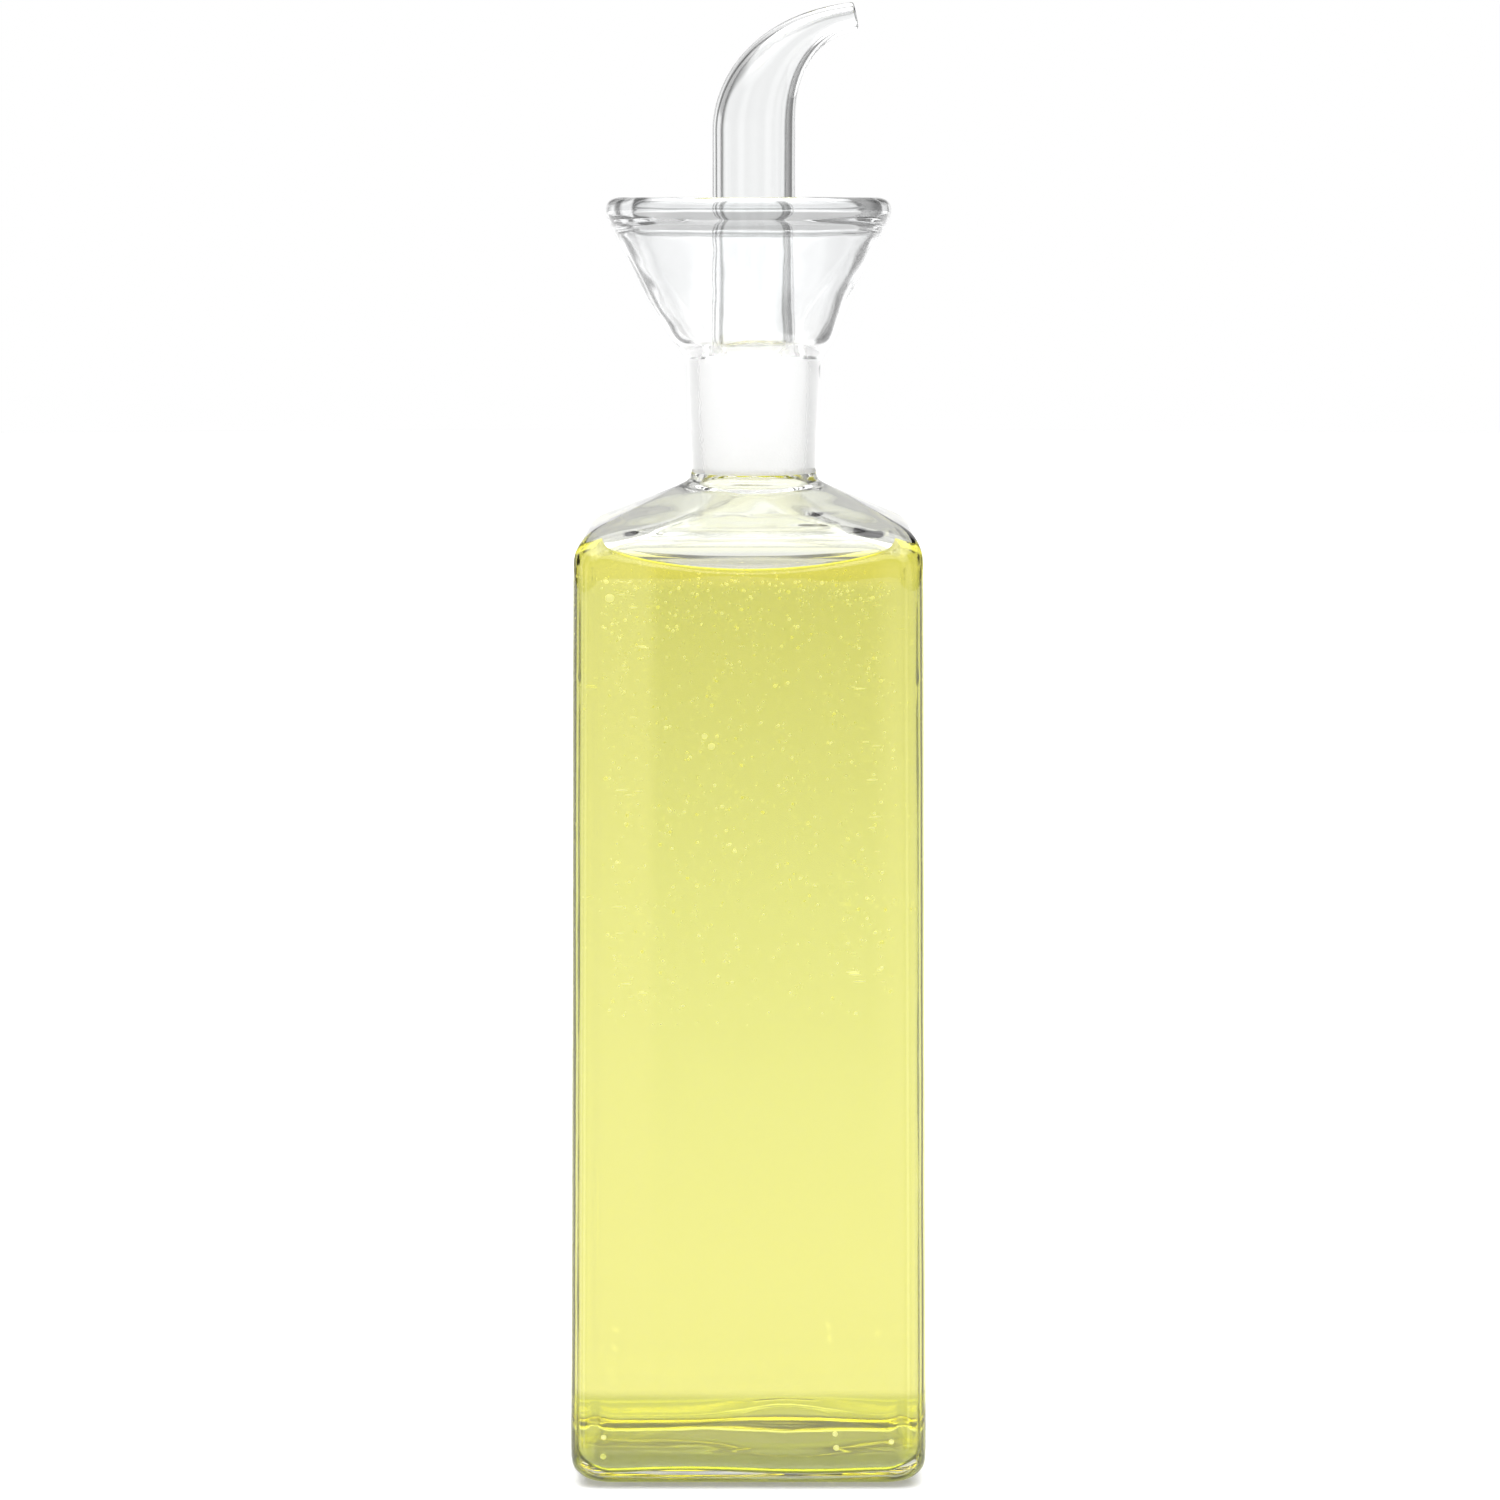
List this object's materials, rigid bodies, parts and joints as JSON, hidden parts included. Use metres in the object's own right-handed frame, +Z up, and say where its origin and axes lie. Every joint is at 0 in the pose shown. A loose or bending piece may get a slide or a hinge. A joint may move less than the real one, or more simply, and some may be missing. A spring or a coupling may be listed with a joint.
{
  "type": "oil cruet",
  "caption": "Square clear glass oil cruet with a drip funnel round its neck, a hollow bent glass pouring spout and a fill of yellow oil.",
  "frame": {"origin": "middle of the bounding box at the underside, on the surface that the bottle stands on", "axes": "+Z up along the bottle, +X towards the side that the spout points to, so that the spout bends in the XZ plane"},
  "size_m": [0.0628, 0.0628, 0.2602],
  "materials": {
    "clear_glass": "clear, polished, hand-worked glass",
    "spout_glass": "clear glass, ground white on the plug",
    "yellow_oil": "clear yellow-green oil, glossy at its surface"
  },
  "bodies": {
    "root": {"bottle": "clear_glass", "spout": "spout_glass", "oil": "yellow_oil"}
  },
  "joints": []
}
